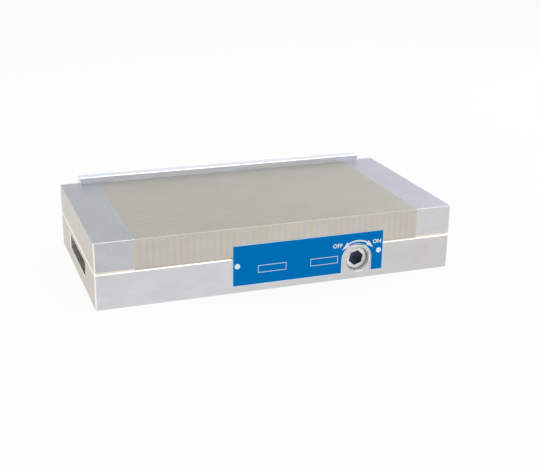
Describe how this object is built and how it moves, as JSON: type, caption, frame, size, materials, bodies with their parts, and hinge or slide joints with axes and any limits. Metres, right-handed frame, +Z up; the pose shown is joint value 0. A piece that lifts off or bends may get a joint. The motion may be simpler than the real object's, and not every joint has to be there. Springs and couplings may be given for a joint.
{
  "type": "magnetic chuck",
  "caption": "Rectangular permanent-magnet work-holding chuck with a laminated fine-pole top, a hexagon key socket that shifts the magnets, end clamp pockets and a rear stop rail.",
  "frame": {"origin": "centre of the underside of the base, without the stop rail", "axes": "+X along the chuck, -Y to the front with the key socket, +Z up out of the work face"},
  "size_m": [0.25, 0.1347, 0.0503],
  "materials": {
    "housing_steel": "ground",
    "plate_steel": "ground",
    "strip_brass": "ground",
    "strip_steel": "ground",
    "gasket_rubber": "matt",
    "screw_steel": "black oxide",
    "dowel_steel": "ground",
    "bush_bronze": "satin",
    "fork_steel": "satin",
    "wear_bronze": "satin",
    "guide_plastic": "moulded",
    "label_aluminium": "satin print",
    "pin_aluminium": "satin",
    "shaft_steel": "turned",
    "core_steel": "milled",
    "carrier_aluminium": "milled",
    "magnet_ferrite": "sintered",
    "rail_steel": "ground"
  },
  "bodies": {
    "chassis": {"base_housing": "housing_steel", "end_block_left": "plate_steel", "end_block_right": "plate_steel", "brass_strips": "strip_brass", "steel_strips": "strip_steel", "plate_gasket": "gasket_rubber", "plate_screws": "screw_steel", "plate_dowels": "dowel_steel", "rail_screws": "screw_steel", "cam_bush": "bush_bronze", "cam_fork": "fork_steel", "fork_screws": "screw_steel", "wear_strips": "wear_bronze", "side_guides": "guide_plastic", "label_plate": "label_aluminium", "label_pins": "pin_aluminium"},
    "cam": {"camshaft": "shaft_steel", "cam_seal": "gasket_rubber", "cam_roller": "dowel_steel", "roller_clip": "screw_steel"},
    "magnet_pack": {"keeper_plate": "core_steel", "yoke_bar": "carrier_aluminium", "rear_bar": "carrier_aluminium", "carrier_end_bars": "carrier_aluminium", "carrier_screws": "screw_steel", "pole_bars": "core_steel", "magnets_north": "magnet_ferrite", "magnets_south": "magnet_ferrite"},
    "stop": {"stop_rail": "rail_steel"}
  },
  "joints": [
    {"name": "cam_turn", "type": "hinge", "parent": "chassis", "child": "cam", "pos_m": [0.0557, 0, 0.0135], "axis": [0, 1, 0], "range_deg": [0, 180]},
    {"name": "magnet_slide", "type": "slide", "parent": "chassis", "child": "magnet_pack", "axis": [1, 0, 0], "range_m": [0, 0.00403]},
    {"name": "stop_rail_lift", "type": "slide", "parent": "chassis", "child": "stop", "axis": [0, 0, 1], "range_m": [-0.0048, 0]}
  ],
  "couplings": [
    {"joint": "cam_turn", "follows": "magnet_slide", "rad_per_m": 779.43}
  ]
}
